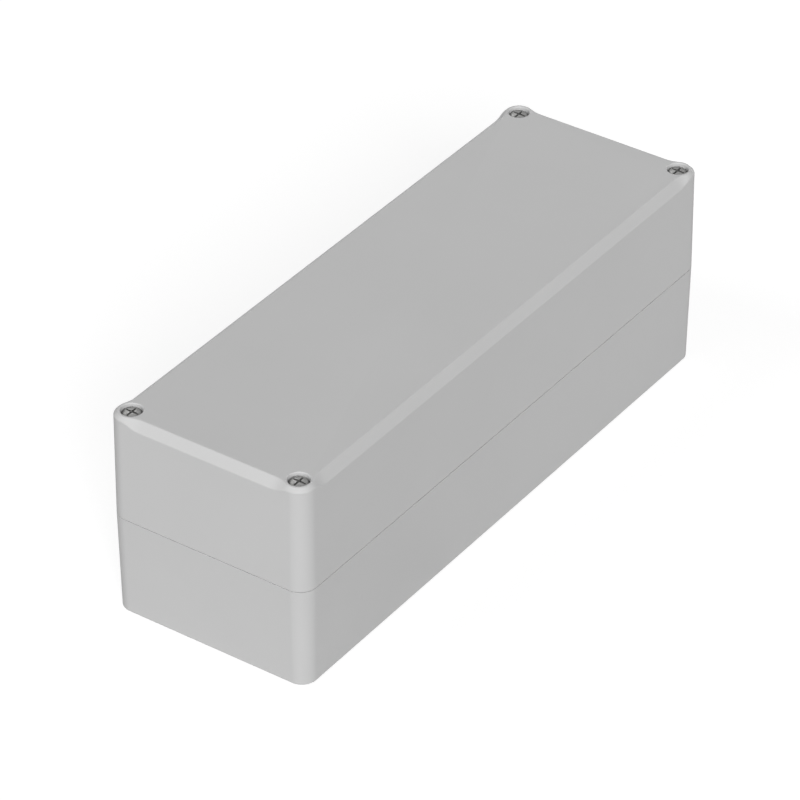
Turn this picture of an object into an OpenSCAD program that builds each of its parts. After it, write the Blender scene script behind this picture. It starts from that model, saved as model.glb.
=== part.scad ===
// Sealed plastic project box: a deep lid on a tray-shaped base, held by four long captive
// screws in round corner towers. Outside the seal, a well in each corner of the base gives
// access to a wall-mounting hole.
// Millimetres. Origin at the middle of the underside, X along the length, Z up.

/* [Box] */
// Length at the joint line, where the box is widest
box_length = 250; // [200:1:400]
// Width at the joint line
box_width = 83.3; // [80:0.1:160]
// Height of the base, from the underside to the joint line
base_height = 40; // [30:1:80]
// Height of the lid, from the joint line to the top face
lid_height = 42.5; // [36:0.5:80]
// Mould draft of the base's outer walls, in degrees
base_draft = 0.95; // [0.3:0.05:1.2]
// Mould draft of the lid's outer walls, in degrees
lid_draft = 0.5; // [0.3:0.1:1.2]
// Distance of each screw from the two outer faces beside it, also the corner radius
post_inset = 6.65; // [6.4:0.05:8]
// Chamfer along the lid's four top edges
edge_chamfer = 3.1; // [2:0.1:4]
// Chamfer round the top of each corner tower
tower_chamfer = 1.4; // [0.4:0.1:1.6]
// Radius of the hollow curve that leads from a straight top edge round into a tower
tower_blend = 14; // [6:1:20]

/* [Walls] */
// Wall thickness at the joint line
wall = 3.6; // [3.6:0.1:4.6]
// Thickness of the base's floor
floor_thickness = 3.2; // [2:0.1:5]
// Thickness of the lid's roof
roof_thickness = 3.2; // [2.4:0.1:5]
// Radius of the cavity's upright corners
cavity_radius = 3; // [1:0.5:5]

/* [Corner wells] */
// How far each corner block reaches from the end face to the cavity
block_length = 27.6; // [26:0.1:36]
// How far each corner block reaches from the side face to the cavity
block_width = 15.8; // [15.4:0.1:22]
// Radius of each corner block's upright edge inside the cavity
block_radius = 4; // [3.5:0.5:6]
// Thickness of the outer wall beside a well
well_skin = 2.8; // [2:0.1:3.4]
// Thickness of the floor under a well
well_floor = 4; // [2:0.1:8]
// Thickness of the lid over a well
well_roof = 5; // [4:0.1:10]
// Radius of a well's upright corners
well_radius = 1.2; // [0.5:0.1:2]
// Radius of the screw post that stands in each well
post_radius = 5.35; // [5:0.05:5.8]

/* [Seal] */
// Width of the gasket groove in the lid's rim
groove_width = 1.6; // [1.4:0.1:1.8]
// Width of the rim between the groove and the cavity
inner_land = 0.9; // [0.7:0.1:1.1]
// Height of the tongue that stands on the base's rim
tongue_height = 2.2; // [1.2:0.1:3]
// Sideways clearance of the tongue in the groove, on each side
tongue_clearance = 0.2; // [0.15:0.05:0.3]
// Height of the gasket
gasket_height = 1.3; // [0.8:0.1:2]
// Sideways clearance of the gasket in the groove, on each side
gasket_clearance = 0.05; // [0.02:0.01:0.1]
// Gap between the tongue and the gasket with the lid on
gasket_gap = 0.1; // [0.05:0.05:0.3]
// Height of the shadow gap round the joint line
seam_gap = 0.25; // [0.05:0.05:0.4]
// Depth of the shadow gap, inwards from the outer face
seam_depth = 0.6; // [0.4:0.1:0.8]

/* [Lid screws] */
// Radius of the screw head
head_radius = 3.5; // [3.2:0.05:3.6]
// Height of the screw head
head_height = 2.6; // [2:0.1:3]
// How far the head lies below the lid's top face
head_recess = 0.8; // [0.3:0.1:2]
// Radius of the counterbore that takes the head
counterbore_radius = 3.93; // [3.8:0.01:4.1]
// Chamfer at the counterbore's mouth
mouth_chamfer = 0.4; // [0.1:0.05:0.45]
// Outer radius of the screw's thread
thread_radius = 1.94; // [1.9:0.01:1.97]
// Radius of the waisted shank above the thread
waist_radius = 1.6; // [1.4:0.05:1.65]
// Length of the thread, all of it in the insert when the lid is tight
thread_length = 6.4; // [5:0.1:7.4]
// How far a captive screw rises until its thread has left the insert
screw_travel = 6.65; // [5:0.35:8.4]
// Thickness of the sealing washer under the head
washer_thickness = 1; // [0.6:0.1:1.6]
// Outer radius of the sealing washer
washer_radius = 3.4; // [2.8:0.05:3.6]
// Width of each arm of the cross recess
recess_width = 0.8; // [0.6:0.1:1.2]
// Length of the cross recess across the head
recess_length = 5.6; // [3.6:0.1:5.8]
// Depth of the cross recess
recess_depth = 1.6; // [1:0.1:1.8]

/* [Screw guides in the lid] */
// Radial clearance of the waist in the captive neck and in the washer
waist_clearance = 0.15; // [0.1:0.05:0.2]
// Radius of the bore in the tower above the neck
guide_radius = 2.3; // [2.2:0.05:2.6]
// Length of the neck that holds the screw captive
neck_length = 3; // [1.5:0.5:5]

/* [Threaded inserts] */
// Outer radius of a brass insert
insert_radius = 2.8; // [2.7:0.05:3.2]
// Length of an insert
insert_length = 7.8; // [7.6:0.1:12]
// Radius of an insert's bore
insert_bore_radius = 2; // [2:0.01:2.05]
// How far an insert lies below the top of its post
insert_recess = 0.2; // [0:0.1:0.5]
// Clearance between an insert and its pocket
insert_fit = 0.02; // [0.01:0.01:0.05]

/* [Fixing holes] */
// Radius of the wall-mounting holes in the wells
mount_hole_radius = 2.25; // [1.6:0.05:2.8]
// Spacing of the outer board bosses along the length
boss_spacing_x = 180; // [100:1:184]
// Spacing of the board bosses across the width
boss_spacing_y = 56; // [20:1:64]
// Radius of a board boss
boss_radius = 3.5; // [2.6:0.1:4]
// Height of a board boss
boss_height = 6; // [3:0.5:12]
// Radius of the screw hole in a board boss
boss_hole_radius = 1.45; // [1:0.05:1.8]

/* [Hidden] */

$fn = 64;

// Cutters run this far past the surface that they open
over = 0.01;
// A cutter that has to clear a whole outer wall runs this far past it
clear = 5;

total_height = base_height + lid_height;
base_slope = tan(base_draft);
lid_slope = tan(lid_draft);

// The screws' axes, from the middle of the box
post_x = box_length / 2 - post_inset;
post_y = box_width / 2 - post_inset;
LEFT_FRONT = [-1, -1];
RIGHT_FRONT = [1, -1];
RIGHT_BACK = [1, 1];
LEFT_BACK = [-1, 1];

// The chamfers fall at 45 degrees from the top face's outline, and their cutter reaches this deep
chamfer_reach = edge_chamfer + 1;
// The top face's outline, from the joint line's outline and from a screw's axis
side_inset = (lid_height - edge_chamfer) * lid_slope + edge_chamfer;
side_top = post_inset - side_inset;
tower_top = post_inset - (lid_height - tower_chamfer) * lid_slope - tower_chamfer;
// Centre of the blend from the screw's axis, along the edge and outwards. It stands a hair nearer
// than a tangent arc would, so that the blend ends inside the tower and inside the edge.
blend_out = side_top + tower_blend - over;
blend_along = sqrt(pow(tower_top + tower_blend - over, 2) - pow(blend_out, 2));

// The seal, measured outwards from the cavity's wall
groove_depth = tongue_height + gasket_gap + gasket_height;
tongue_width = groove_width - 2 * tongue_clearance;

// A well, from the cavity side to the outer wall
well_x0 = box_length / 2 - block_length + wall;
well_x1 = box_length / 2 - well_skin;
well_y0 = box_width / 2 - block_width + wall;
well_y1 = box_width / 2 - well_skin;
// The mounting hole stands in the middle of the well's free floor
mount_x = (well_x0 + post_x - post_radius) / 2;
mount_y = (well_y0 + well_y1) / 2;

// Heights along a lid screw
head_top = total_height - head_recess;
head_seat = head_top - head_height;
washer_seat = head_seat - washer_thickness;
thread_bottom = base_height - thread_length;
thread_taper = thread_radius - waist_radius;
neck_bottom = base_height + screw_travel + thread_taper;
// The bore below the neck lets the thread rise into the tower
thread_room_radius = thread_radius + 0.45;
head_edge = 0.3;
tip_chamfer = 0.5;

// The pocket's lower part, narrower, carries the insert and leaves room for the screw's tip
relief_radius = 2.2;
relief_depth = 2;
insert_groove = 0.3;
insert_band = insert_length / 3;

module at_corners() {
  for (side = [LEFT_FRONT, RIGHT_FRONT, RIGHT_BACK, LEFT_BACK]) {
    at_corner(side) children();
  }
}

module at_corner(side) {
  translate([side[0] * post_x, side[1] * post_y, 0]) children();
}

// Repeats what stands in the quarter with positive X and Y in the other three
module in_each_quarter() {
  for (mx = [0, 1], my = [0, 1]) {
    mirror([mx, 0, 0]) mirror([0, my, 0]) children();
  }
}

module rounded_rectangle(size, radius) {
  square([size[0] - 2 * radius, size[1]], center = true);
  square([size[0], size[1] - 2 * radius], center = true);
  for (x = [-1, 1], y = [-1, 1]) {
    translate([x * (size[0] / 2 - radius), y * (size[1] / 2 - radius)]) circle(radius);
  }
}

// The cavity seen from above, a rectangle with a notch for each corner block. It can be grown
// outwards, so that the groove, the tongue and the gasket follow it.
module cavity_outline(grow = 0) {
  notch_x = box_length / 2 - block_length + grow;
  notch_y = box_width / 2 - block_width + grow;
  half_x = box_length / 2 - wall + grow;
  half_y = box_width / 2 - wall + grow;
  fillet = block_radius - grow;
  rounded_rectangle([2 * half_x, 2 * notch_y], cavity_radius + grow);
  rounded_rectangle([2 * notch_x, 2 * half_y], cavity_radius + grow);
  in_each_quarter() translate([notch_x, notch_y]) difference() {
    translate([-over, -over]) square(fillet + over);
    translate([fillet, fillet]) circle(fillet);
  }
}

module seal_ring(inner, outer) {
  difference() {
    cavity_outline(outer);
    cavity_outline(inner);
  }
}

// One corner well seen from above: the block's inside without the screw post
module well_outline() {
  difference() {
    translate([(well_x0 + well_x1) / 2, (well_y0 + well_y1) / 2])
      rounded_rectangle([well_x1 - well_x0, well_y1 - well_y0], well_radius);
    translate([post_x, post_y]) circle(post_radius);
    translate([post_x, post_y]) square(post_inset);
  }
}

// Extrudes a section given in Y and Z along X, and the other way round
module along_x(length) {
  rotate([90, 0, 90]) linear_extrude(length, center = true) children();
}

module along_y(length) {
  rotate([90, 0, 0]) linear_extrude(length, center = true) children();
}

// Section of a drafted block between its side walls, for half a width at the joint line
module drafted_section(half, height, foot_inset, head_inset) {
  foot = half - foot_inset;
  head = half - head_inset;
  polygon([[-foot, 0], [foot, 0], [head, height], [-head, height]]);
}

// The box's outline with its lower and its upper edge set in by different amounts: two prisms,
// and a quarter of a cone in each corner between their ends
module drafted_block(height, foot_inset, head_inset) {
  along_x(2 * post_x) drafted_section(box_width / 2, height, foot_inset, head_inset);
  along_y(2 * post_y) drafted_section(box_length / 2, height, foot_inset, head_inset);
  in_each_quarter() translate([post_x, post_y, 0]) rotate_extrude(angle = 90) polygon([
    [0, 0],
    [post_inset - foot_inset, 0],
    [post_inset - head_inset, height],
    [0, height]
  ]);
}

module lid_block() {
  middle_height = total_height - chamfer_reach;
  intersection() {
    translate([0, 0, base_height]) drafted_block(lid_height, 0, lid_height * lid_slope);
    union() {
      translate([0, 0, middle_height / 2])
        cube([box_length + clear, box_width + clear, middle_height], center = true);
      translate([0, 0, middle_height]) chamfered_top();
    }
  }
}

// The top with all its chamfers, running out past the lid's walls
module chamfered_top() {
  height = chamfer_reach + over;
  drafted_block(height, side_inset - chamfer_reach, side_inset + over);
  at_corners() cylinder(height, tower_top + chamfer_reach, tower_top - over);
  in_each_quarter() translate([post_x, post_y, 0]) {
    blend(height);
    mirror([1, -1, 0]) blend(height);
  }
}

// Fills the bay between a tower and the straight edge beside it, up to the hollow curve
module blend(height) {
  difference() {
    linear_extrude(height)
      polygon([[0, 0], [-blend_along, blend_out], [-blend_along, 0]]);
    translate([-blend_along, blend_out, -over])
      cylinder(height + 2 * over, tower_blend - chamfer_reach - over, tower_blend + 2 * over);
  }
}

module at_bosses() {
  for (x = [-0.5, 0, 0.5], y = [-0.5, 0.5]) {
    translate([x * boss_spacing_x, y * boss_spacing_y, 0]) children();
  }
}

module at_lid_bosses() {
  for (x = [-0.5, 0.5], y = [-0.5, 0.5]) {
    translate([x * boss_spacing_x, y * boss_spacing_y, 0]) children();
  }
}

module base() {
  color("#c9cbc8") difference() {
    union() {
      difference() {
        drafted_block(base_height, base_height * base_slope, 0);
        translate([0, 0, floor_thickness])
          linear_extrude(base_height) cavity_outline();
        translate([0, 0, well_floor])
          linear_extrude(base_height) in_each_quarter() well_outline();
      }
      translate([0, 0, base_height - over]) linear_extrude(tongue_height + over)
        seal_ring(inner_land + tongue_clearance, inner_land + tongue_clearance + tongue_width);
      at_bosses() translate([0, 0, floor_thickness - over])
        cylinder(boss_height + over, boss_radius, boss_radius);
    }
    at_bosses() translate([0, 0, floor_thickness])
      cylinder(boss_height + over, boss_hole_radius, boss_hole_radius);
    at_corners() insert_pocket();
    in_each_quarter() translate([mount_x, mount_y, -over])
      cylinder(well_floor + 2 * over, mount_hole_radius, mount_hole_radius);
  }
}

module insert_pocket() {
  pocket_bottom = base_height - insert_recess - insert_length;
  pocket_radius = insert_radius + insert_fit;
  translate([0, 0, pocket_bottom])
    cylinder(insert_length + insert_recess + over, pocket_radius, pocket_radius);
  translate([0, 0, pocket_bottom - relief_depth])
    cylinder(relief_depth + over, relief_radius, relief_radius);
}

module lid() {
  cavity_height = lid_height - roof_thickness;
  color("#c9cbc8") difference() {
    union() {
      difference() {
        lid_block();
        translate([0, 0, base_height - over])
          linear_extrude(cavity_height + over) cavity_outline();
        translate([0, 0, base_height - over])
          linear_extrude(lid_height - well_roof + over) in_each_quarter() well_outline();
      }
      at_lid_bosses() translate([0, 0, base_height + cavity_height - boss_height])
        cylinder(boss_height + over, boss_radius, boss_radius);
    }
    translate([0, 0, base_height - over]) linear_extrude(groove_depth + over)
      seal_ring(inner_land, inner_land + groove_width);
    seam_recess();
    at_lid_bosses() translate([0, 0, base_height + cavity_height - boss_height - over])
      cylinder(boss_height, boss_hole_radius, boss_hole_radius);
    at_corners() screw_bore();
  }
}

// Sets the outer edge of the lid's rim back, for an even shadow line round the box
module seam_recess() {
  kept = [box_length - 2 * seam_depth, box_width - 2 * seam_depth];
  translate([0, 0, base_height - over]) linear_extrude(seam_gap + over) difference() {
    square([box_length + clear, box_width + clear], center = true);
    rounded_rectangle(kept, post_inset - seam_depth);
  }
}

// From the top: counterbore for the head and washer, guide bore, captive neck, room for the thread
module screw_bore() {
  neck_radius = waist_radius + waist_clearance;
  mouth_radius = counterbore_radius + mouth_chamfer;
  translate([0, 0, total_height - mouth_chamfer])
    cylinder(mouth_chamfer + over, counterbore_radius, mouth_radius + over);
  translate([0, 0, washer_seat])
    cylinder(total_height - washer_seat, counterbore_radius, counterbore_radius);
  translate([0, 0, neck_bottom + neck_length])
    cylinder(washer_seat - neck_bottom - neck_length + over, guide_radius, guide_radius);
  translate([0, 0, neck_bottom - over])
    cylinder(neck_length + 2 * over, neck_radius, neck_radius);
  translate([0, 0, base_height - over])
    cylinder(neck_bottom - base_height + over, thread_room_radius, thread_room_radius);
}

module gasket() {
  color("#2a2b2b") translate([0, 0, base_height + groove_depth - gasket_height])
    linear_extrude(gasket_height)
      seal_ring(inner_land + gasket_clearance, inner_land + groove_width - gasket_clearance);
}

module lid_screw(side) {
  color("#b9babb") at_corner(side) difference() {
    rotate_extrude() polygon([
      [0, thread_bottom],
      [thread_radius - tip_chamfer, thread_bottom],
      [thread_radius, thread_bottom + tip_chamfer],
      [thread_radius, base_height],
      [waist_radius, base_height + thread_taper],
      [waist_radius, head_seat],
      [head_radius, head_seat],
      [head_radius, head_top - head_edge],
      [head_radius - head_edge, head_top],
      [0, head_top]
    ]);
    cross_recess();
  }
}

// The arms of the cross recess and the deeper cone where they meet
module cross_recess() {
  translate([0, 0, head_top - recess_depth / 2 + over / 2]) {
    cube([recess_length, recess_width, recess_depth + over], center = true);
    cube([recess_width, recess_length, recess_depth + over], center = true);
  }
  translate([0, 0, head_top - recess_depth])
    cylinder(recess_depth + over, recess_width / 2, recess_width);
}

module seal_washer(side) {
  color("#1f2020") at_corner(side) translate([0, 0, washer_seat])
    linear_extrude(washer_thickness) difference() {
      circle(washer_radius);
      circle(waist_radius + waist_clearance);
    }
}

// A moulded-in insert with a groove round its middle that keeps it from pulling out
module threaded_insert(side) {
  insert_bottom = base_height - insert_recess - insert_length;
  color("#c9a24a") at_corner(side) translate([0, 0, insert_bottom])
    rotate_extrude() polygon([
      [insert_bore_radius, 0],
      [insert_radius, 0],
      [insert_radius, insert_band],
      [insert_radius - insert_groove, insert_band + insert_groove],
      [insert_radius - insert_groove, 2 * insert_band - insert_groove],
      [insert_radius, 2 * insert_band],
      [insert_radius, insert_length],
      [insert_bore_radius, insert_length]
    ]);
}

base();
lid();
gasket();
lid_screw(LEFT_FRONT);  // lid_screw_left_front
lid_screw(RIGHT_FRONT);  // lid_screw_right_front
lid_screw(RIGHT_BACK);  // lid_screw_right_back
lid_screw(LEFT_BACK);  // lid_screw_left_back
seal_washer(LEFT_FRONT);  // seal_washer_left_front
seal_washer(RIGHT_FRONT);  // seal_washer_right_front
seal_washer(RIGHT_BACK);  // seal_washer_right_back
seal_washer(LEFT_BACK);  // seal_washer_left_back
threaded_insert(LEFT_FRONT);  // insert_left_front
threaded_insert(RIGHT_FRONT);  // insert_right_front
threaded_insert(RIGHT_BACK);  // insert_right_back
threaded_insert(LEFT_BACK);  // insert_left_back
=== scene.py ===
"""Looks of the sealed plastic project box.

Two moulded shells, four captive cross-recessed screws, their sealing washers, the gasket and the
brass inserts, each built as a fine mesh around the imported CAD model. Meshes are written in
millimetres and turned into metres when an object is made from them.
"""

import math

import bmesh
import bpy
from mathutils import Matrix, Vector


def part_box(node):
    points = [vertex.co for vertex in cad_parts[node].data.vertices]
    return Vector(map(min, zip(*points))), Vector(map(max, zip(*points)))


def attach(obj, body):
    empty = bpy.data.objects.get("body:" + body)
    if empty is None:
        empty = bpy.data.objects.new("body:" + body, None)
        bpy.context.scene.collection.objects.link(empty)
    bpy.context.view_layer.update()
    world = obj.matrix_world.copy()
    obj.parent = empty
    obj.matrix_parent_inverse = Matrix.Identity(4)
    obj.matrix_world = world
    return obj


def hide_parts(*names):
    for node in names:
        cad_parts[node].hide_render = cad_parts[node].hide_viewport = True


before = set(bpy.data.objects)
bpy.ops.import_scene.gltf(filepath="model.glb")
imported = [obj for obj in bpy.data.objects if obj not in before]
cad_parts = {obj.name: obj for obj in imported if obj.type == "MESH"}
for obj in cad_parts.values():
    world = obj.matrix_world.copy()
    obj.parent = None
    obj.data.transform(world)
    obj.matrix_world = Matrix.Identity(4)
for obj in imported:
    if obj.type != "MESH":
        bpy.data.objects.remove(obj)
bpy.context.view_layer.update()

MM = 0.001

# ---------------------------------------------------------------------------
# Sizes in millimetres. What the frame says is read from it, the rest is named here.


def box_mm(node):
    low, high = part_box(node)
    return low / MM, high / MM


BASE_HIGH = box_mm("base")[1]
LID_LOW, LID_HIGH = box_mm("lid")
SCREW_LOW, SCREW_HIGH = box_mm("lid_screw_right_back")
WASHER_LOW, WASHER_HIGH = box_mm("seal_washer_right_back")
INSERT_LOW, INSERT_HIGH = box_mm("insert_right_back")
GASKET_LOW, GASKET_HIGH = box_mm("gasket")

HALF_X, HALF_Y = BASE_HIGH.x, BASE_HIGH.y
JOINT_Z = LID_LOW.z
TOP_Z = LID_HIGH.z
POST_X = (SCREW_LOW.x + SCREW_HIGH.x) / 2
POST_Y = (SCREW_LOW.y + SCREW_HIGH.y) / 2
CORNER_RADIUS = HALF_X - POST_X

CORNERS = {
    "left_front": (-1, -1),
    "right_front": (1, -1),
    "right_back": (1, 1),
    "left_back": (-1, 1),
}

# Outer skin
BASE_SLOPE = math.tan(math.radians(0.95))
LID_SLOPE = math.tan(math.radians(0.5))
EDGE_CHAMFER = 3.1
TOWER_CHAMFER = 1.4
TOWER_BLEND = 14.0
EDGE_ROUND = 0.35
FOOT_ROUND = 0.5
BASE_RIM_ROUND = 0.05
LID_RIM_ROUND = 0.15
SEAM_GAP = 0.25
SEAM_DEPTH = 0.6

# Walls and cavity
WALL = 3.6
FLOOR = 3.2
ROOF = 3.2
BLOCK_LENGTH = 27.6
BLOCK_WIDTH = 15.8
CAVITY_RADIUS = 3.0
BLOCK_RADIUS = 4.0
CAVITY_DRAFT = 0.25
FLOOR_ROUND = 1.0

# Corner wells
WELL_SKIN = 2.8
WELL_FLOOR = 4.0
WELL_ROOF = 5.0
WELL_RADIUS = 1.2
POST_RADIUS = 5.35
MOUNT_RADIUS = 2.25
MOUNT_EASE = 0.3

# Seal
INNER_LAND = 0.9
GROOVE_WIDTH = 1.6
GROOVE_TOP = GASKET_HIGH.z
TONGUE_GAP = 0.2
TONGUE_TOP = BASE_HIGH.z
TONGUE_ROUND = 0.25
GASKET_GAP = 0.05
GASKET_LOW_ROUND = 0.45
GASKET_HIGH_ROUND = 0.15

# Board bosses
BOSS_X = 90.0
BOSS_Y = 28.0
BOSS_RADIUS = 3.5
BOSS_HEIGHT = 6.0
BOSS_HOLE = 1.45
BOSS_FILLET = 0.9
BOSS_FILLET_HOLLOW = 0.12
BOSS_EASE = 0.2
BOSS_HOLE_EASE = 0.25

# Screws
HEAD_TOP = SCREW_HIGH.z
HEAD_RADIUS = (SCREW_HIGH.x - SCREW_LOW.x) / 2
HEAD_SEAT = WASHER_HIGH.z
HEAD_CROWN = 0.2
HEAD_UNDER_EASE = 0.12
# The head's rounded edge as (distance in from its side, distance below its top), and its crown
# as (share of its radius, share of the crown's height below its top)
HEAD_EDGE = ((0, 0.8), (0.06, 0.58), (0.2, 0.4), (0.42, HEAD_CROWN + 0.08), (0.6, HEAD_CROWN))
HEAD_CROWN_CURVE = ((0.7, 0.5), (0.4, 0.16), (0.1, 0))
RECESS_REACH = 2.8
RECESS_HALF_WIDTH = 0.4
RECESS_DEPTH = 1.6
RECESS_POINT = 0.25
RECESS_CORNER = 0.22
RECESS_ARM_TAPER = 0.8
RECESS_SHADE_DEPTHS = (0.22, 0.4)  # how far below the head's top the painted shade in the recess starts and ends
RECESS_SHADE_RIM = 0.15
WAIST_RADIUS = 1.6
WAIST_FILLET = ((0, 0.35), (0.1, 0.1), (0.14, 0))  # out from the waist, and below the head
THREAD_LOW = SCREW_LOW.z
THREAD_RADIUS = 1.94
THREAD_ROOT = 1.56
THREAD_PITCH = 0.7
THREAD_ROOT_FLAT = 0.1  # share of half a pitch
THREAD_FLANK = 0.75  # share of half a pitch
THREAD_ROWS = 10  # rows of points a pitch
THREAD_RUNOUT = 0.35
TIP_LENGTH = 0.25
TIP_EASE = 0.35
TIP_STEP = 0.05
TIP_CONE = 1.2

# Screw bores of the lid. The mouth of the counterbore is given as (distance out from it,
# distance above the lid's top).
COUNTERBORE = 3.93
COUNTERBORE_MOUTH = ((0, -0.5), (0.07, -0.24), (0.22, -0.07), (0.4, 0), (0.6, 0.08))
GUIDE_BORE = 2.3
NECK_BORE = 1.75
NECK_LOW = 46.99
NECK_HIGH = 49.99
THREAD_ROOM = 2.39

# Sealing washers
WASHER_CLEARANCE = 0.15
WASHER_ROUND = 0.3

# Inserts
INSERT_RADIUS = (INSERT_HIGH.x - INSERT_LOW.x) / 2
INSERT_BORE = 2.0
KNURL_TEETH = 36
KNURL_DEPTH = 0.12
INSERT_EASE = 0.15
INSERT_WAIST = 0.3
INSERT_COLLAR = 0.2
BORE_CHAMFER = 0.3
BORE_THREAD_DEPTH = 0.3
POCKET_RADIUS = 2.82
POCKET_EASE = 0.2
RELIEF_RADIUS = 2.2
RELIEF_DEPTH = 2.0

OVER = 0.5  # how far a cutter runs past the surface it opens
PAST_JOINT = 5.0  # how far the cutter of a hollow runs past the joint line
RIM_CUT_LOW = JOINT_Z - 1.0  # where the cutters of the lid's rim start
ALONG_AXIS = 0.999999  # a direction's share along an axis that counts as all of it
AIR = 0.01  # keeps a washer's faces off those of its screw and its seat
ARC_STEPS = 10  # segments on a quarter turn of an outline
SMALL_ARC_STEPS = 4
ROUND_STEPS = 48  # segments round a small part
BOSS_STEPS = 40
BOSS_HOLE_STEPS = 32
BORE_STEPS = 64
SMOOTH_ANGLE = math.radians(35)

# Colours, as linear red, green and blue
PLASTIC_DARK = (0.537, 0.537, 0.537)
PLASTIC_LIGHT = (0.548, 0.548, 0.548)
PLASTIC_SPECK = (0.50, 0.50, 0.50)
PLASTIC_WORN = (0.60, 0.60, 0.60)
STEEL_BRIGHT = (0.27, 0.27, 0.266)
STEEL_DULL = (0.17, 0.169, 0.167)
# Painted shade for the cross recess of the screw heads
STEEL_RECESS_SHADE = (0.24, 0.239, 0.236)
BRASS_BRIGHT = (0.66, 0.45, 0.17)
BRASS_DULL = (0.50, 0.33, 0.12)
GASKET_DARK = (0.022, 0.023, 0.023)
GASKET_LIGHT = (0.05, 0.05, 0.05)
WASHER_DARK = (0.015, 0.016, 0.016)
WASHER_LIGHT = (0.035, 0.035, 0.035)

# Studio
WORLD_LIGHT = 0.208
FLOOR_HALF_SIZE = 12000
FLOOR_DROP = 0.2  # how far the floor lies under the object's foot
FLOOR_ALBEDO = 0.33
FLOOR_GLOW = 0.78

# Each softbox has a strength, the direction it stands in, and its width in degrees as the
# object sees it. The back glint mirrors in what faces up, and the right fill keeps the back
# from going dark.
SOFTBOXES = {
    "key": (2.64, (-0.284, -0.296, 0.194), 28),
    "left_fill": (0.96, (-0.573, 0.47, 0.673), 30),
    "back_glint": (0.09, (0.59, 0.58, 0.56), 17),
    "right_fill": (0.8, (0.995, 0.1, 0.03), 14),
}

# The photograph's viewing angle, and a long lens from far away
CAMERA_AZIMUTH = -55.087
CAMERA_ELEVATION = 34.938
CAMERA_DISTANCE = 1610.3
CAMERA_SIDE_STEP = 5.544
CAMERA_RISE = -26.764
CAMERA_LENS = 199.23
CAMERA_SENSOR = 36
CAMERA_CLIP = (0.1, 30)  # metres


# ---------------------------------------------------------------------------
# Plain mesh building


def make_object(name, vertices, faces):
    mesh = bpy.data.meshes.new(name)
    mesh.from_pydata([Vector(v) * MM for v in vertices], [], faces)
    mesh.validate()
    made = bpy.data.objects.new(name, mesh)
    bpy.context.scene.collection.objects.link(made)
    return made


def grid_faces(columns, rows, closed_rows=False):
    """Quads between neighbouring columns of a closed row of columns, each with the same rows."""
    faces = []
    for c in range(columns):
        following = (c + 1) % columns
        for r in range(rows if closed_rows else rows - 1):
            above = (r + 1) % rows
            faces.append(
                (c * rows + r, following * rows + r, following * rows + above, c * rows + above)
            )
    return faces


def capped_grid(name, columns):
    """A closed solid from profiles that stand round it, each from the bottom to the top."""
    count, rows = len(columns), len(columns[0])
    faces = grid_faces(count, rows)
    faces.append(tuple(reversed([c * rows for c in range(count)])))
    faces.append(tuple(c * rows + rows - 1 for c in range(count)))
    return make_object(name, [v for column in columns for v in column], faces)


def ring_grid(name, columns):
    """A closed ring from cross-sections that stand round it, each a closed loop."""
    faces = grid_faces(len(columns), len(columns[0]), closed_rows=True)
    return make_object(name, [v for column in columns for v in column], faces)


def revolve(name, profile, centre, steps=ROUND_STEPS):
    """Turns a profile of (radius, height), from the lowest point up, about an upright axis."""
    columns = []
    for step in range(steps):
        angle = 2 * math.pi * step / steps
        columns.append(
            [
                (centre[0] + r * math.cos(angle), centre[1] + r * math.sin(angle), z)
                for r, z in profile
            ]
        )
    return capped_grid(name, columns)


def rounded(points, sizes, steps=3):
    """Replaces the inner corners of a polyline by short curves that start this far from them."""
    points = [Vector(p) for p in points]
    made = [points[0]]
    for before, corner, after, size in zip(points, points[1:], points[2:], sizes):
        if size == 0:
            made.append(corner)
            continue
        start = corner + (before - corner).normalized() * size
        end = corner + (after - corner).normalized() * size
        for step in range(steps + 1):
            s = step / steps
            made.append(start * (1 - s) ** 2 + corner * 2 * s * (1 - s) + end * s**2)
    made.append(points[-1])
    return made


def arc(centre, radius, start, end, steps=ARC_STEPS):
    """Points and outward directions on an arc, with angles in degrees."""
    made = []
    for step in range(steps + 1):
        angle = math.radians(start + (end - start) * step / steps)
        direction = Vector((math.cos(angle), math.sin(angle)))
        made.append((Vector(centre) + direction * radius, direction))
    return made


def mirrored_round(quarter):
    """A whole outline, counter-clockwise, from its quarter with positive X and Y. The quarter
    ends on both axes, and its end points are used once."""
    whole = list(quarter)
    for sign_x, sign_y, turn_back in ((-1, 1, True), (-1, -1, False), (1, -1, True)):
        part = [flip(item, sign_x, sign_y) for item in quarter]
        whole += part[-2::-1] if turn_back else part[1:]
    return whole[:-1]


def flip(item, sign_x, sign_y):
    """Mirrors a point, or each point of a tuple."""
    if isinstance(item, tuple):
        return tuple(flip(part, sign_x, sign_y) for part in item)
    return Vector((item.x * sign_x, item.y * sign_y))


def boolean(target, tool, operation):
    """Cuts the tool from the target, or adds it, and removes the tool."""
    modifier = target.modifiers.new("cut", "BOOLEAN")
    modifier.operation = operation
    modifier.solver = "EXACT"
    modifier.object = tool
    apply_modifiers(target)
    bpy.data.objects.remove(tool)


def apply_modifiers(target):
    evaluated = target.evaluated_get(bpy.context.evaluated_depsgraph_get())
    mesh = bpy.data.meshes.new_from_object(evaluated)
    target.modifiers.clear()
    target.data = mesh


def joined(objects):
    """One object from several that don't touch each other."""
    vertices, faces = [], []
    for part in objects:
        first = len(vertices)
        vertices += [v.co / MM for v in part.data.vertices]
        faces += [tuple(first + i for i in face.vertices) for face in part.data.polygons]
        bpy.data.objects.remove(part)
    return make_object("joined", vertices, faces)


def merge_doubles(target):
    """Makes one point of those that a boolean leaves less than a micrometre apart."""
    mesh = bmesh.new()
    mesh.from_mesh(target.data)
    bmesh.ops.remove_doubles(mesh, verts=mesh.verts, dist=0.001 * MM)
    mesh.to_mesh(target.data)
    mesh.free()


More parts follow.
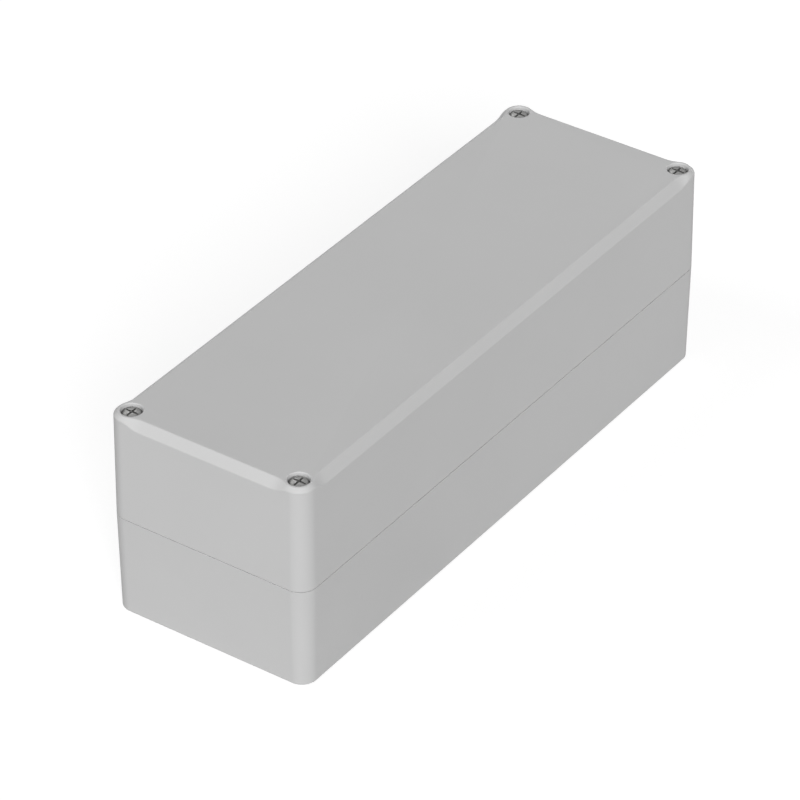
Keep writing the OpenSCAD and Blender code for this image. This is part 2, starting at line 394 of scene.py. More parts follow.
def shade(target):
    """Clean points, smooth shading with sharp edges above an angle, and flat faces kept flat."""
    merge_doubles(target)
    mesh = target.data
    mesh.polygons.foreach_set("use_smooth", [True] * len(mesh.polygons))
    mesh.set_sharp_from_angle(angle=SMOOTH_ANGLE)
    modifier = target.modifiers.new("weighted normals", "WEIGHTED_NORMAL")
    modifier.keep_sharp = True
    modifier.weight = 100
    apply_modifiers(target)


# ---------------------------------------------------------------------------
# Outlines seen from above


def cavity_outline(grow=0.0):
    """The cavity with its four notches for the corner blocks, grown outwards."""
    half_x = HALF_X - WALL
    half_y = HALF_Y - WALL
    notch_x = HALF_X - BLOCK_LENGTH
    notch_y = HALF_Y - BLOCK_WIDTH
    outer = CAVITY_RADIUS + grow
    inner = BLOCK_RADIUS - grow
    quarter = [(Vector((half_x + grow, 0)), Vector((1, 0)))]
    quarter += arc((half_x - CAVITY_RADIUS, notch_y - CAVITY_RADIUS), outer, 0, 90)
    quarter += arc((notch_x + BLOCK_RADIUS, notch_y + BLOCK_RADIUS), inner, 270, 180)
    quarter += arc((notch_x - CAVITY_RADIUS, half_y - CAVITY_RADIUS), outer, 0, 90)
    quarter += [(Vector((0, half_y + grow)), Vector((0, 1)))]
    return [point for point, _ in mirrored_round(quarter)]


def well_outline(side):
    """One corner well: a rounded rectangle without the screw post and its outer corner."""
    x0, x1 = HALF_X - BLOCK_LENGTH + WALL, HALF_X - WELL_SKIN
    y0, y1 = HALF_Y - BLOCK_WIDTH + WALL, HALF_Y - WELL_SKIN
    reach_x = math.sqrt(POST_RADIUS**2 - (x1 - POST_X) ** 2)
    reach_y = math.sqrt(POST_RADIUS**2 - (y1 - POST_Y) ** 2)
    start = -math.degrees(math.atan2(reach_x, x1 - POST_X))
    end = math.degrees(math.atan2(y1 - POST_Y, -reach_y)) - 360
    turn = WELL_RADIUS
    outline = arc((x0 + turn, y0 + turn), turn, 180, 270, SMALL_ARC_STEPS)
    outline += arc((x1 - turn, y0 + turn), turn, 270, 360, SMALL_ARC_STEPS)
    outline += arc((POST_X, POST_Y), POST_RADIUS, start, end, 4 * ARC_STEPS)
    outline += arc((x0 + turn, y1 - turn), turn, 90, 180, SMALL_ARC_STEPS)
    points = [Vector((p.x * side[0], p.y * side[1])) for p, _ in outline]
    return points if side[0] * side[1] > 0 else points[::-1]


def prism(name, outlines, heights):
    """A solid from one outline at each height, all with the same number of points."""
    columns = [
        [(outline[i].x, outline[i].y, z) for outline, z in zip(outlines, heights)]
        for i in range(len(outlines[0]))
    ]
    return capped_grid(name, columns)


def cavity_cutter(name, closed_end, open_end):
    """The cavity as a cutter: rounded where it is closed, with a little draft, and open past
    the joint line."""
    curve = rounded(
        [
            (-FLOOR_ROUND - CAVITY_DRAFT, closed_end, 0),
            (-CAVITY_DRAFT, closed_end, 0),
            (0, JOINT_Z, 0),
        ],
        [FLOOR_ROUND * 0.98],  # a little short, so that neighbouring points stay apart
        steps=4,
    )
    curve.append(Vector((0, open_end, 0)))
    levels = [(p.y, p.x) for p in curve]
    if open_end < closed_end:
        levels.reverse()
    outlines = [cavity_outline(grow) for _, grow in levels]
    return prism(name, outlines, [z for z, _ in levels])


def ring_section(inner, outer, low, high, rounds, steps=3):
    """The closed cross-section of a ring, with its corners rounded."""
    middle = (inner + outer) / 2
    points = [
        (middle, low, 0),
        (outer, low, 0),
        (outer, high, 0),
        (inner, high, 0),
        (inner, low, 0),
        (middle, low, 0),
    ]
    return rounded(points, rounds, steps)[:-1]


def seal_ring(name, inner, outer, low, high, low_round=0.0, high_round=0.0):
    """A ring that follows the cavity: inner and outer are measured outwards from its wall."""
    rounds = [low_round, high_round, high_round, low_round]
    section = ring_section(inner, outer, low, high, rounds)
    outlines = [cavity_outline(p.x) for p in section]
    columns = [
        [(outline[i].x, outline[i].y, p.y) for outline, p in zip(outlines, section)]
        for i in range(len(outlines[0]))
    ]
    return ring_grid(name, columns)


# ---------------------------------------------------------------------------
# Outer skins


def base_skin():
    """The base without its hollows: drafted walls from the joint line to a rounded foot."""
    quarter = [(Vector((HALF_X, 0)), Vector((1, 0)))]
    quarter += arc((POST_X, POST_Y), CORNER_RADIUS, 0, 90, 2 * ARC_STEPS)
    quarter += [(Vector((0, HALF_Y)), Vector((0, 1)))]
    columns = []
    for point, out in mirrored_round(quarter):
        foot = point - out * (JOINT_Z * BASE_SLOPE)
        corners = [
            (*(foot - out), 0),
            (*foot, 0),
            (*point, JOINT_Z),
            (*(point - out), JOINT_Z),
        ]
        columns.append(rounded(corners, [FOOT_ROUND, BASE_RIM_ROUND], steps=4))
    return capped_grid("base_shell", columns)


def lid_top_quarter():
    """The edge of the lid's top face in one quarter, as (point, outward direction, wall
    direction). It runs straight along the box and swells out round the screw tower."""
    line_x = HALF_X - (TOP_Z - JOINT_Z - EDGE_CHAMFER) * LID_SLOPE - EDGE_CHAMFER
    line_y = line_x - HALF_X + HALF_Y
    tower = CORNER_RADIUS - (TOP_Z - JOINT_Z - TOWER_CHAMFER) * LID_SLOPE - TOWER_CHAMFER
    reach = tower + TOWER_BLEND
    bend = math.degrees(math.acos((line_x - POST_X + TOWER_BLEND) / reach))
    across = reach * math.sin(math.radians(bend))
    beside = reach * math.cos(math.radians(bend))
    x_wall, y_wall = Vector((1, 0)), Vector((0, 1))

    quarter = [(Vector((line_x, 0)), x_wall, x_wall)]
    for p, d in arc((POST_X + beside, POST_Y - across), TOWER_BLEND, 180, 180 - bend):
        quarter.append((p, -d, x_wall))
    for p, d in arc((POST_X, POST_Y), tower, -bend, 0, SMALL_ARC_STEPS)[1:]:
        quarter.append((p, d, x_wall))
    for p, d in arc((POST_X, POST_Y), tower, 0, 90, 2 * ARC_STEPS)[1:-1]:
        quarter.append((p, d, d))
    for p, d in arc((POST_X, POST_Y), tower, 90, 90 + bend, SMALL_ARC_STEPS)[:-1]:
        quarter.append((p, d, y_wall))
    for p, d in arc((POST_X - across, POST_Y + beside), TOWER_BLEND, 270 + bend, 270):
        quarter.append((p, -d, y_wall))
    quarter.append((Vector((0, line_y)), y_wall, y_wall))
    return quarter


def wall_distance(point, wall):
    """How far a point of the top edge lies inside the outer wall, at the height of the top."""
    drawn_in = (TOP_Z - JOINT_Z) * LID_SLOPE
    inner = Vector((abs(point.x), abs(point.y)))
    facing = Vector((abs(wall.x), abs(wall.y)))
    if facing.x > ALONG_AXIS:
        return HALF_X - drawn_in - inner.x
    if facing.y > ALONG_AXIS:
        return HALF_Y - drawn_in - inner.y
    return CORNER_RADIUS - drawn_in - (inner - Vector((POST_X, POST_Y))).length


def lid_skin():
    """The lid without its hollows. From the top edge a 45 degree chamfer falls to the wall, so
    it is wide along the box and narrow round the towers."""
    columns = []
    for point, out, wall in mirrored_round(lid_top_quarter()):
        fall = wall_distance(point, wall) / (out.dot(wall) - LID_SLOPE)
        shoulder = point + out * fall
        shoulder_z = TOP_Z - fall
        rim_z = JOINT_Z + SEAM_GAP
        rim = shoulder + wall * ((shoulder_z - rim_z) * LID_SLOPE)
        lip = rim - wall * SEAM_DEPTH
        corners = [
            (*lip, JOINT_Z),
            (*lip, rim_z),
            (*rim, rim_z),
            (*shoulder, shoulder_z),
            (*point, TOP_Z),
            (*(point - out), TOP_Z),
        ]
        columns.append(rounded(corners, [0, LID_RIM_ROUND, EDGE_ROUND, EDGE_ROUND], steps=4))
    return capped_grid("lid_shell", columns)


# ---------------------------------------------------------------------------
# Shells


def post_centres():
    return [(POST_X * side[0], POST_Y * side[1]) for side in CORNERS.values()]


def boss_centres(columns):
    return [(BOSS_X * x, BOSS_Y * y) for x in columns for y in (-1, 1)]


def boss(centre, root, tip):
    """A board boss that stands from root to tip, up or down, with a rounded foot."""
    way = 1 if tip > root else -1
    profile = [
        (BOSS_RADIUS + BOSS_FILLET, root - way * OVER),
        (BOSS_RADIUS + BOSS_FILLET, root - way * 0.01),
        (BOSS_RADIUS + BOSS_FILLET / 2, root + way * BOSS_FILLET_HOLLOW),
        (BOSS_RADIUS + BOSS_FILLET_HOLLOW, root + way * BOSS_FILLET / 2),
        (BOSS_RADIUS, root + way * BOSS_FILLET),
        (BOSS_RADIUS, tip - way * BOSS_EASE),
        (BOSS_RADIUS - BOSS_EASE, tip),
    ]
    if way < 0:
        profile.reverse()
    return revolve("boss", profile, centre, BOSS_STEPS)


def boss_hole(centre, root, tip):
    way = 1 if tip > root else -1
    profile = [
        (BOSS_HOLE, root),
        (BOSS_HOLE, tip - way * BOSS_HOLE_EASE),
        (BOSS_HOLE + BOSS_HOLE_EASE, tip),
        (BOSS_HOLE + BOSS_HOLE_EASE, tip + way * OVER),
    ]
    if way < 0:
        profile.reverse()
    return revolve("boss_hole", profile, centre, BOSS_HOLE_STEPS)


def insert_pocket(centre):
    """The hole for an insert, with relief for the screw's tip below and an eased mouth."""
    profile = [
        (RELIEF_RADIUS, INSERT_LOW.z - RELIEF_DEPTH),
        (RELIEF_RADIUS, INSERT_LOW.z),
        (POCKET_RADIUS, INSERT_LOW.z),
        (POCKET_RADIUS, JOINT_Z - POCKET_EASE),
        (POCKET_RADIUS + POCKET_EASE, JOINT_Z),
        (POCKET_RADIUS + POCKET_EASE, JOINT_Z + OVER),
    ]
    return revolve("pocket", profile, centre)


def mount_hole(side):
    """A wall-mounting hole through the floor of a corner well, eased on the underside."""
    x = (HALF_X - BLOCK_LENGTH + WALL + POST_X - POST_RADIUS) / 2
    y = HALF_Y - (BLOCK_WIDTH - WALL + WELL_SKIN) / 2
    profile = [
        (MOUNT_RADIUS + MOUNT_EASE, -OVER),
        (MOUNT_RADIUS + MOUNT_EASE, 0),
        (MOUNT_RADIUS, MOUNT_EASE),
        (MOUNT_RADIUS, WELL_FLOOR + OVER),
    ]
    return revolve("mount_hole", profile, (x * side[0], y * side[1]))


def make_base():
    shell = base_skin()
    hollows = [cavity_cutter("cavity", FLOOR, JOINT_Z + PAST_JOINT)]
    for side in CORNERS.values():
        outline = well_outline(side)
        hollows.append(prism("well", [outline] * 2, [WELL_FLOOR, JOINT_Z + PAST_JOINT]))
    boolean(shell, joined(hollows), "DIFFERENCE")

    tongue_in = INNER_LAND + TONGUE_GAP
    tongue_out = INNER_LAND + GROOVE_WIDTH - TONGUE_GAP
    tongue = seal_ring(
        "tongue", tongue_in, tongue_out, JOINT_Z - OVER, TONGUE_TOP, high_round=TONGUE_ROUND
    )
    centres = boss_centres((-1, 0, 1))
    bosses = [boss(c, FLOOR, FLOOR + BOSS_HEIGHT) for c in centres]
    boolean(shell, joined([tongue] + bosses), "UNION")

    holes = [boss_hole(c, FLOOR, FLOOR + BOSS_HEIGHT) for c in centres]
    holes += [insert_pocket(c) for c in post_centres()]
    holes += [mount_hole(side) for side in CORNERS.values()]
    boolean(shell, joined(holes), "DIFFERENCE")
    return shell


def make_lid():
    shell = lid_skin()
    hollows = [cavity_cutter("cavity", TOP_Z - ROOF, JOINT_Z - PAST_JOINT)]
    for side in CORNERS.values():
        outline = well_outline(side)
        low, high = JOINT_Z - PAST_JOINT, TOP_Z - WELL_ROOF
        hollows.append(prism("well", [outline] * 2, [low, high]))
    boolean(shell, joined(hollows), "DIFFERENCE")

    centres = boss_centres((-1, 1))
    ceiling = TOP_Z - ROOF
    bosses = [boss(c, ceiling, ceiling - BOSS_HEIGHT) for c in centres]
    boolean(shell, joined(bosses), "UNION")

    cutters = [boss_hole(c, ceiling, ceiling - BOSS_HEIGHT) for c in centres]
    cutters.append(
        seal_ring("groove", INNER_LAND, INNER_LAND + GROOVE_WIDTH, RIM_CUT_LOW, GROOVE_TOP)
    )
    cutters += [revolve("screw_bore", screw_bore_profile(), c, BORE_STEPS) for c in post_centres()]
    boolean(shell, joined(cutters), "DIFFERENCE")
    return shell


def screw_bore_profile():
    """From below: room for the thread, captive neck, guide bore, counterbore, rounded mouth."""
    return [
        (THREAD_ROOM, RIM_CUT_LOW),
        (THREAD_ROOM, NECK_LOW),
        (NECK_BORE, NECK_LOW),
        (NECK_BORE, NECK_HIGH),
        (GUIDE_BORE, NECK_HIGH),
        (GUIDE_BORE, WASHER_LOW.z),
        (COUNTERBORE, WASHER_LOW.z),
        *((COUNTERBORE + out, TOP_Z + up) for out, up in COUNTERBORE_MOUTH),
    ]


# ---------------------------------------------------------------------------
# Small parts, each built round its own axis


def at_post(piece, side):
    piece.location = Vector((POST_X * side[0], POST_Y * side[1], 0)) * MM
    return piece


def triangle_wave(phase):
    """0 at the root of a thread and 1 at its crest, with a short flat on both."""
    distance = abs((phase % 1.0) - 0.5) * 2
    return min(1.0, max(0.0, (distance - THREAD_ROOT_FLAT) / THREAD_FLANK))


def threaded_columns(profile):
    """Columns round an axis. A profile row is (radius, height, thread depth)."""
    columns = []
    for step in range(ROUND_STEPS):
        share = step / ROUND_STEPS
        angle = 2 * math.pi * share
        column = []
        for radius, z, depth in profile:
            r = radius - depth * (1 - triangle_wave(z / THREAD_PITCH - share))
            column.append((r * math.cos(angle), r * math.sin(angle), z))
        columns.append(column)
    return columns


def thread_rows(radius, low, high, depth, runout):
    """Rows of a thread whose depth grows from nothing over the run-out at both ends."""
    count = round((high - low) / THREAD_PITCH * THREAD_ROWS)
    rows = []
    for i in range(count + 1):
        z = low + (high - low) * i / count
        fade = min(1.0, (z - low) / runout, (high - z) / runout)
        rows.append((radius, z, depth * max(0.0, fade)))
    return rows


def make_screw(name):
    """A captive cheese-head screw: threaded tip, waisted shank and cross recess."""
    thread_high = JOINT_Z
    tip_high = THREAD_LOW + TIP_LENGTH
    depth = THREAD_RADIUS - THREAD_ROOT
    thread = thread_rows(THREAD_RADIUS, tip_high + TIP_STEP, thread_high, depth, THREAD_RUNOUT)
    rows = [(THREAD_ROOT - TIP_EASE, THREAD_LOW, 0), (THREAD_ROOT - TIP_STEP, tip_high, 0)]
    rows += [
        (min(THREAD_RADIUS, THREAD_ROOT + (z - tip_high) * TIP_CONE), z, cut)
        for _, z, cut in thread
    ]
    rows += [
        (WAIST_RADIUS + 0.02, thread_high + THREAD_RADIUS - WAIST_RADIUS, 0),
        (WAIST_RADIUS, thread_high + 0.7, 0),
        *((WAIST_RADIUS + out, HEAD_SEAT - below, 0) for out, below in WAIST_FILLET),
        (HEAD_RADIUS - HEAD_UNDER_EASE, HEAD_SEAT, 0),
        (HEAD_RADIUS, HEAD_SEAT + HEAD_UNDER_EASE, 0),
    ]
    rows += [(HEAD_RADIUS - inset, HEAD_TOP - drop, 0) for inset, drop in HEAD_EDGE]
    rows += [
        (HEAD_RADIUS * share, HEAD_TOP - HEAD_CROWN * drop, 0)
        for share, drop in HEAD_CROWN_CURVE
    ]
    screw = capped_grid(name, threaded_columns(rows))
    boolean(screw, recess_cutter(), "DIFFERENCE")
    return screw


def cross_outline(reach, half_width):
    """A cross whose inner corners are cut back, as a driver tip leaves them."""
    corner = half_width + RECESS_CORNER
    arm = [
        (reach, -half_width * RECESS_ARM_TAPER),
        (reach, half_width * RECESS_ARM_TAPER),
        (corner, half_width),
        (half_width, corner),
    ]
    points = []
    for turn in range(4):
        c, s = math.cos(turn * math.pi / 2), math.sin(turn * math.pi / 2)
        points += [Vector((x * c - y * s, x * s + y * c)) for x, y in arm]
    return points


def recess_cutter():
    """The cross recess as a cutter: arms that narrow downwards to a blunt point. Each level is
    (height, reach of the arms, half their width)."""
    levels = [
        (HEAD_TOP - RECESS_DEPTH - RECESS_POINT, 0.22, 0.1),
        (HEAD_TOP - RECESS_DEPTH, RECESS_REACH * 0.4, RECESS_HALF_WIDTH * 0.62),
        (HEAD_TOP - RECESS_DEPTH * 0.6, RECESS_REACH * 0.8, RECESS_HALF_WIDTH * 0.8),
        (HEAD_TOP, RECESS_REACH, RECESS_HALF_WIDTH),
        (HEAD_TOP + OVER, RECESS_REACH, RECESS_HALF_WIDTH),
    ]
    outlines = [cross_outline(reach, width) for _, reach, width in levels]
    return prism("recess", outlines, [z for z, _, _ in levels])


def make_washer(name):
    """A flat sealing washer with rounded edges."""
    inner, outer = WAIST_RADIUS + WASHER_CLEARANCE, (WASHER_HIGH.x - WASHER_LOW.x) / 2
    low, high = WASHER_LOW.z + AIR, WASHER_HIGH.z - AIR
    section = ring_section(inner, outer, low, high, [WASHER_ROUND] * 4, steps=4)
    columns = []
    for step in range(ROUND_STEPS):
        angle = 2 * math.pi * step / ROUND_STEPS
        columns.append([(p.x * math.cos(angle), p.x * math.sin(angle), p.y) for p in section])
    return ring_grid(name, columns)


def make_insert(name):
    """A brass insert: threaded bore, chamfered ends and two knurled bands."""
    low, high = INSERT_LOW.z, INSERT_HIGH.z
    band = (high - low) / 3
    outside = [
        (INSERT_RADIUS - INSERT_EASE, low, 0),
        (INSERT_RADIUS, low + INSERT_EASE, KNURL_DEPTH),
        (INSERT_RADIUS, low + band, KNURL_DEPTH),
        (INSERT_RADIUS - INSERT_WAIST, low + band + INSERT_WAIST, 0),
        (INSERT_RADIUS - INSERT_WAIST, low + 2 * band - INSERT_WAIST, 0),
        (INSERT_RADIUS, low + 2 * band, KNURL_DEPTH),
        (INSERT_RADIUS, high - 0.3, KNURL_DEPTH),
        (INSERT_RADIUS - INSERT_COLLAR, high - 0.25, 0),
        (INSERT_RADIUS - INSERT_COLLAR, high, 0),
    ]
    thread = thread_rows(
        INSERT_BORE, low + BORE_CHAMFER, high - BORE_CHAMFER, BORE_THREAD_DEPTH, BORE_CHAMFER
    )
    inside = [(INSERT_BORE + BORE_CHAMFER + 0.05, high, 0)]
    inside += reversed(thread)
    inside.append((INSERT_BORE + BORE_CHAMFER, low, 0))
    columns = []
    steps = 2 * KNURL_TEETH
    for step in range(steps):
        share = step / steps
        angle = 2 * math.pi * share
        ridge = step % 2
        column = [(r - depth * ridge, z) for r, z, depth in outside]
        for r, z, depth in inside:
            column.append((r + depth * triangle_wave(z / THREAD_PITCH - share), z))
        columns.append([(r * math.cos(angle), r * math.sin(angle), z) for r, z in column])
    return ring_grid(name, columns)


# ---------------------------------------------------------------------------
# Materials


class Nodes:
    """A material's node tree with short calls for the nodes that the materials here share."""

    def __init__(self, name):
        self.material = bpy.data.materials.new(name)
        self.material.use_nodes = True
        self.tree = self.material.node_tree
        self.shader = self.tree.nodes["Principled BSDF"]

    def add(self, kind, **settings):
        node = self.tree.nodes.new(kind)
        for key, value in settings.items():
            setattr(node, key, value)
        return node

    def link(self, output, socket):
        self.tree.links.new(output, socket)

    def coordinates(self):
        return self.add("ShaderNodeTexCoord").outputs["Object"]

    def noise(self, scale, detail=2.0, roughness=0.5, vector=None):
        """Noise from 0 to 1. The scale is in waves a metre."""
        node = self.add("ShaderNodeTexNoise")
        node.inputs["Scale"].default_value = scale
        node.inputs["Detail"].default_value = detail
        node.inputs["Roughness"].default_value = roughness
        self.link(vector or self.coordinates(), node.inputs["Vector"])
        return node.outputs["Fac"]

    def ramp(self, value, low, high, from_low=0.0, from_high=1.0):
        """Maps a value to a range of numbers."""
        node = self.add("ShaderNodeMapRange")
        node.inputs["From Min"].default_value = from_low
        node.inputs["From Max"].default_value = from_high
        node.inputs["To Min"].default_value = low
        node.inputs["To Max"].default_value = high
        self.link(value, node.inputs["Value"])
        return node.outputs["Result"]

    def mix(self, factor, first, second):
        """Mixes two colours; each is a colour or a socket."""
        node = self.add("ShaderNodeMix", data_type="RGBA")
        self.link(factor, node.inputs[0])
        for socket, value in ((node.inputs[6], first), (node.inputs[7], second)):
            if isinstance(value, tuple):
                socket.default_value = (*value, 1)
            else:
                self.link(value, socket)
        return node.outputs[2]

    def product(self, first, second):
        node = self.add("ShaderNodeMath", operation="MULTIPLY")
        self.link(first, node.inputs[0])
        self.link(second, node.inputs[1])
        return node.outputs[0]

    def number_mix(self, factor, first, second):
        """From the first number, a socket, to the second, a constant."""
        node = self.add("ShaderNodeMix", data_type="FLOAT")
        self.link(factor, node.inputs[0])
        self.link(first, node.inputs[2])
        node.inputs[3].default_value = second
        return node.outputs[0]

    def bump(self, height, strength, distance, normal=None):
        node = self.add("ShaderNodeBump")
        node.inputs["Strength"].default_value = strength
        node.inputs["Distance"].default_value = distance
        self.link(height, node.inputs["Height"])
        if normal:
            self.link(normal, node.inputs["Normal"])
        return node.outputs["Normal"]

    def set(self, **values):
        for key, value in values.items():
            self.shader.inputs[key.replace("_", " ")].default_value = value

    def edge(self, low, high):
        """From 0 on flat faces to 1 on worn convex edges."""
        return self.ramp(self.add("ShaderNodeNewGeometry").outputs["Pointiness"], 0, 1, low, high)


def plastic_material():
    """Fine matt moulded plastic: spark-eroded grain, faint flow clouds, rubbed edges."""
    m = Nodes("moulded_plastic")
    clouds = m.noise(18, 3, 0.55)
    colour = m.mix(m.ramp(clouds, 0, 1, 0.35, 0.65), PLASTIC_DARK, PLASTIC_LIGHT)
    specks = m.noise(5200, 2, 0.6)
    colour = m.mix(m.ramp(specks, 0, 0.35, 0.5, 0.85), colour, PLASTIC_SPECK)
    colour = m.mix(m.ramp(m.edge(0.52, 0.60), 0, 0.5), colour, PLASTIC_WORN)
    m.link(colour, m.shader.inputs["Base Color"])
    m.link(m.ramp(m.noise(1500, 2, 0.5), 0.56, 0.62, 0.3, 0.7), m.shader.inputs["Roughness"])
    grain = m.bump(m.noise(6500, 2, 0.6), 0.10, 0.00003)
    sink = m.bump(m.noise(45, 1, 0.4), 0.05, 0.0004, grain)
    m.link(sink, m.shader.inputs["Normal"])
    m.set(IOR=1.46)
    return m.material


def steel_material():
    """Plated steel with turning marks round the axis, and painted shade with a rough finish in the
    cross recess.
    """
    m = Nodes("plated_steel")
    place = m.add("ShaderNodeSeparateXYZ")
    m.link(m.coordinates(), place.inputs[0])
    flat = m.add("ShaderNodeCombineXYZ")
    m.link(place.outputs["X"], flat.inputs["X"])
    m.link(place.outputs["Y"], flat.inputs["Y"])
    radius = m.add("ShaderNodeVectorMath", operation="LENGTH")
    m.link(flat.outputs[0], radius.inputs[0])
    rings = m.add("ShaderNodeCombineXYZ")
    m.link(radius.outputs["Value"], rings.inputs["X"])
    m.link(place.outputs["Z"], rings.inputs["Y"])
    turning = m.noise(9000, 2, 0.5, rings.outputs[0])
    tarnish = m.noise(700, 4, 0.6)
    colour = m.mix(m.ramp(tarnish, 0, 1, 0.35, 0.7), STEEL_BRIGHT, STEEL_DULL)
    # Painted shade: the cross recess takes a colour of its own, and a rough finish there too
    start, end = [(HEAD_TOP - below) * MM for below in RECESS_SHADE_DEPTHS]
    below = m.ramp(place.outputs["Z"], 0, 1, start, end)
    rim = (HEAD_RADIUS - RECESS_SHADE_RIM) * MM
    within = m.ramp(radius.outputs["Value"], 0, 1, rim, RECESS_REACH * MM)
    recess_shade_mask = m.product(below, within)
    colour = m.mix(recess_shade_mask, colour, STEEL_RECESS_SHADE)
    m.link(colour, m.shader.inputs["Base Color"])
    gloss = m.ramp(tarnish, 0.24, 0.38, 0.3, 0.7)
    m.link(m.number_mix(recess_shade_mask, gloss, 0.8), m.shader.inputs["Roughness"])
    m.link(m.bump(turning, 0.25, 0.00002), m.shader.inputs["Normal"])
    m.set(Metallic=1.0)
    return m.material


def brass_material():
    """Turned brass, a little dulled."""
    m = Nodes("turned_brass")
    dull = m.noise(900, 4, 0.6)
    colour = m.mix(m.ramp(dull, 0, 1, 0.3, 0.7), BRASS_BRIGHT, BRASS_DULL)
    m.link(colour, m.shader.inputs["Base Color"])
    m.link(m.ramp(dull, 0.24, 0.42), m.shader.inputs["Roughness"])
    m.link(m.bump(m.noise(8000, 2, 0.5), 0.2, 0.00002), m.shader.inputs["Normal"])
    m.set(Metallic=1.0)
    return m.material


def rubber_material(name, dark, light, grain_scale):
    """Matt rubber with a dusty bloom."""
    m = Nodes(name)
    bloom = m.noise(300, 4, 0.6)
    colour = m.mix(m.ramp(bloom, 0, 1, 0.35, 0.7), dark, light)
    m.link(colour, m.shader.inputs["Base Color"])
    m.link(m.ramp(bloom, 0.62, 0.85), m.shader.inputs["Roughness"])
    m.link(m.bump(m.noise(grain_scale, 3, 0.6), 0.3, 0.00004), m.shader.inputs["Normal"])
    return m.material


# ---------------------------------------------------------------------------
# Stage, light and camera


def white_to_the_eye(tree, plain_strength):
    """A strength that is 1 where the camera, a gloss or a glass looks, and plain elsewhere."""
    rays = tree.nodes.new("ShaderNodeLightPath")
    seen = rays.outputs["Is Camera Ray"]
    for name in ("Is Glossy Ray", "Is Transmission Ray"):
        either = tree.nodes.new("ShaderNodeMath")
        either.operation = "MAXIMUM"
        tree.links.new(seen, either.inputs[0])
        tree.links.new(rays.outputs[name], either.inputs[1])
        seen = either.outputs[0]
    strength = tree.nodes.new("ShaderNodeMapRange")
    strength.inputs["To Min"].default_value = plain_strength
    strength.inputs["To Max"].default_value = 1.0
    tree.links.new(seen, strength.inputs["Value"])
    return strength.outputs["Result"]


def make_world():
    world = bpy.data.worlds.new("studio")
    bpy.context.scene.world = world
    world.use_nodes = True
    background = world.node_tree.nodes["Background"]
    background.inputs["Color"].default_value = (1, 1, 1, 1)
    strength = white_to_the_eye(world.node_tree, WORLD_LIGHT)
    world.node_tree.links.new(strength, background.inputs["Strength"])


def make_floor():
    """A pale floor. A glow that only the camera and reflections see lifts it to white, and the
    object's soft shadow stays on it."""
    corners = [
        (x * FLOOR_HALF_SIZE, y * FLOOR_HALF_SIZE, -FLOOR_DROP)
        for x, y in ((-1, -1), (1, -1), (1, 1), (-1, 1))
    ]
    floor = make_object("floor", corners, [(0, 1, 2, 3)])
    material = bpy.data.materials.new("pale_floor")
    material.use_nodes = True
    tree = material.node_tree
    tree.nodes.clear()
    diffuse = tree.nodes.new("ShaderNodeBsdfDiffuse")
    diffuse.inputs["Color"].default_value = (FLOOR_ALBEDO,) * 3 + (1,)
    glow = tree.nodes.new("ShaderNodeEmission")
    seen = white_to_the_eye(tree, 0.0)
    scale = tree.nodes.new("ShaderNodeMath")
    scale.operation = "MULTIPLY"
    scale.inputs[1].default_value = FLOOR_GLOW
    tree.links.new(seen, scale.inputs[0])
    tree.links.new(scale.outputs[0], glow.inputs["Strength"])
    both = tree.nodes.new("ShaderNodeAddShader")
    tree.links.new(diffuse.outputs[0], both.inputs[0])
    tree.links.new(glow.outputs[0], both.inputs[1])
    output = tree.nodes.new("ShaderNodeOutputMaterial")
    tree.links.new(both.outputs[0], output.inputs["Surface"])
    floor.data.materials.append(material)


def make_softboxes():
    """Distant lamps, each as broad as a softbox."""
    for name, (strength, place, width) in SOFTBOXES.items():
        lamp = bpy.data.lights.new(name, "SUN")
        lamp.energy = strength
        lamp.angle = math.radians(width)
        softbox = bpy.data.objects.new(name, lamp)
        bpy.context.scene.collection.objects.link(softbox)
        softbox.rotation_mode = "QUATERNION"
        softbox.rotation_quaternion = Vector(place).to_track_quat("Z", "Y")


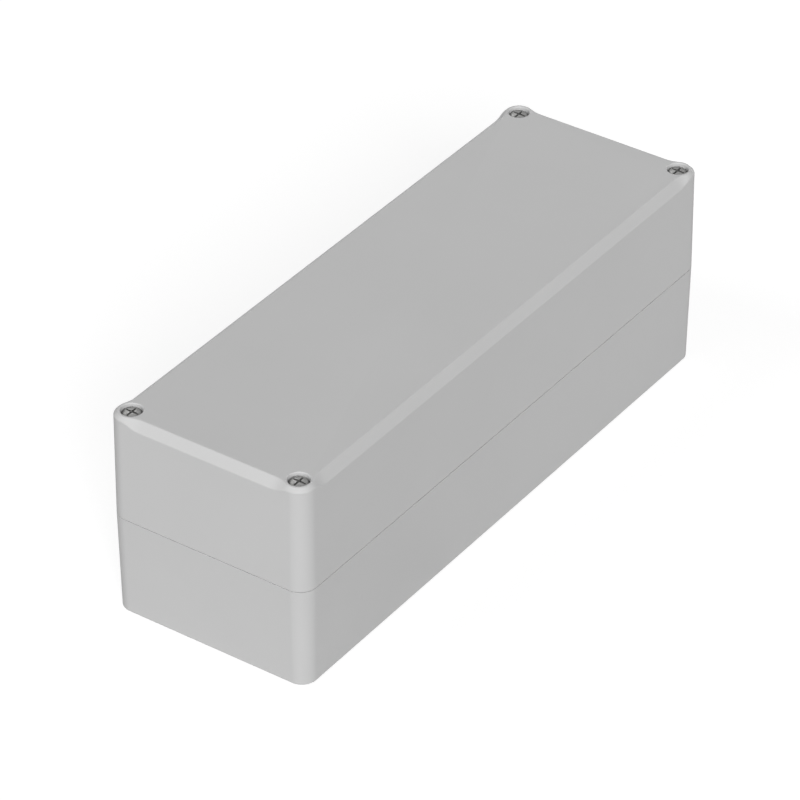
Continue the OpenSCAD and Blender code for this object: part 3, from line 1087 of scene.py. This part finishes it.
def make_camera():
    camera = bpy.data.objects.new("camera", bpy.data.cameras.new("camera"))
    bpy.context.scene.collection.objects.link(camera)
    bpy.context.scene.camera = camera
    azimuth, elevation = math.radians(CAMERA_AZIMUTH), math.radians(CAMERA_ELEVATION)
    back = Vector(
        (
            math.sin(azimuth) * math.cos(elevation),
            -math.cos(azimuth) * math.cos(elevation),
            math.sin(elevation),
        )
    )
    right = Vector((0, 0, 1)).cross(back).normalized()
    up = back.cross(right)
    camera.data.sensor_width = CAMERA_SENSOR
    camera.data.lens = CAMERA_LENS
    camera.data.clip_start, camera.data.clip_end = CAMERA_CLIP
    place = back * CAMERA_DISTANCE - right * CAMERA_SIDE_STEP - up * CAMERA_RISE
    camera.location = place * MM
    camera.rotation_mode = "QUATERNION"
    camera.rotation_quaternion = Matrix((right, up, back)).transposed().to_quaternion()


# ---------------------------------------------------------------------------
# Assembly


def fit(piece, node, body, material):
    """The piece stands for a CAD node, rides on its body and takes its material."""
    piece.data.materials.clear()
    piece.data.materials.append(material)
    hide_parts(node)
    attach(piece, body)


make_camera()
make_world()
make_floor()
make_softboxes()

plastic = plastic_material()
steel = steel_material()
brass = brass_material()
gasket_rubber = rubber_material("gasket_rubber", GASKET_DARK, GASKET_LIGHT, 1500)
washer_rubber = rubber_material("washer_rubber", WASHER_DARK, WASHER_LIGHT, 2500)

base_shell = make_base()
shade(base_shell)
fit(base_shell, "base", "base", plastic)

lid_shell = make_lid()
shade(lid_shell)
fit(lid_shell, "lid", "lid", plastic)

gasket = seal_ring(
    "gasket_ring",
    INNER_LAND + GASKET_GAP,
    INNER_LAND + GROOVE_WIDTH - GASKET_GAP,
    GASKET_LOW.z,
    GASKET_HIGH.z,
    GASKET_LOW_ROUND,
    GASKET_HIGH_ROUND,
)
shade(gasket)
fit(gasket, "gasket", "lid", gasket_rubber)

for corner, side in CORNERS.items():
    screw = at_post(make_screw("captive_screw_" + corner), side)
    shade(screw)
    fit(screw, "lid_screw_" + corner, "screw_" + corner, steel)

    washer = at_post(make_washer("sealing_washer_" + corner), side)
    shade(washer)
    fit(washer, "seal_washer_" + corner, "washer_" + corner, washer_rubber)

    insert = at_post(make_insert("brass_insert_" + corner), side)
    shade(insert)
    fit(insert, "insert_" + corner, "base", brass)

bpy.context.scene.view_settings.view_transform = "Standard"
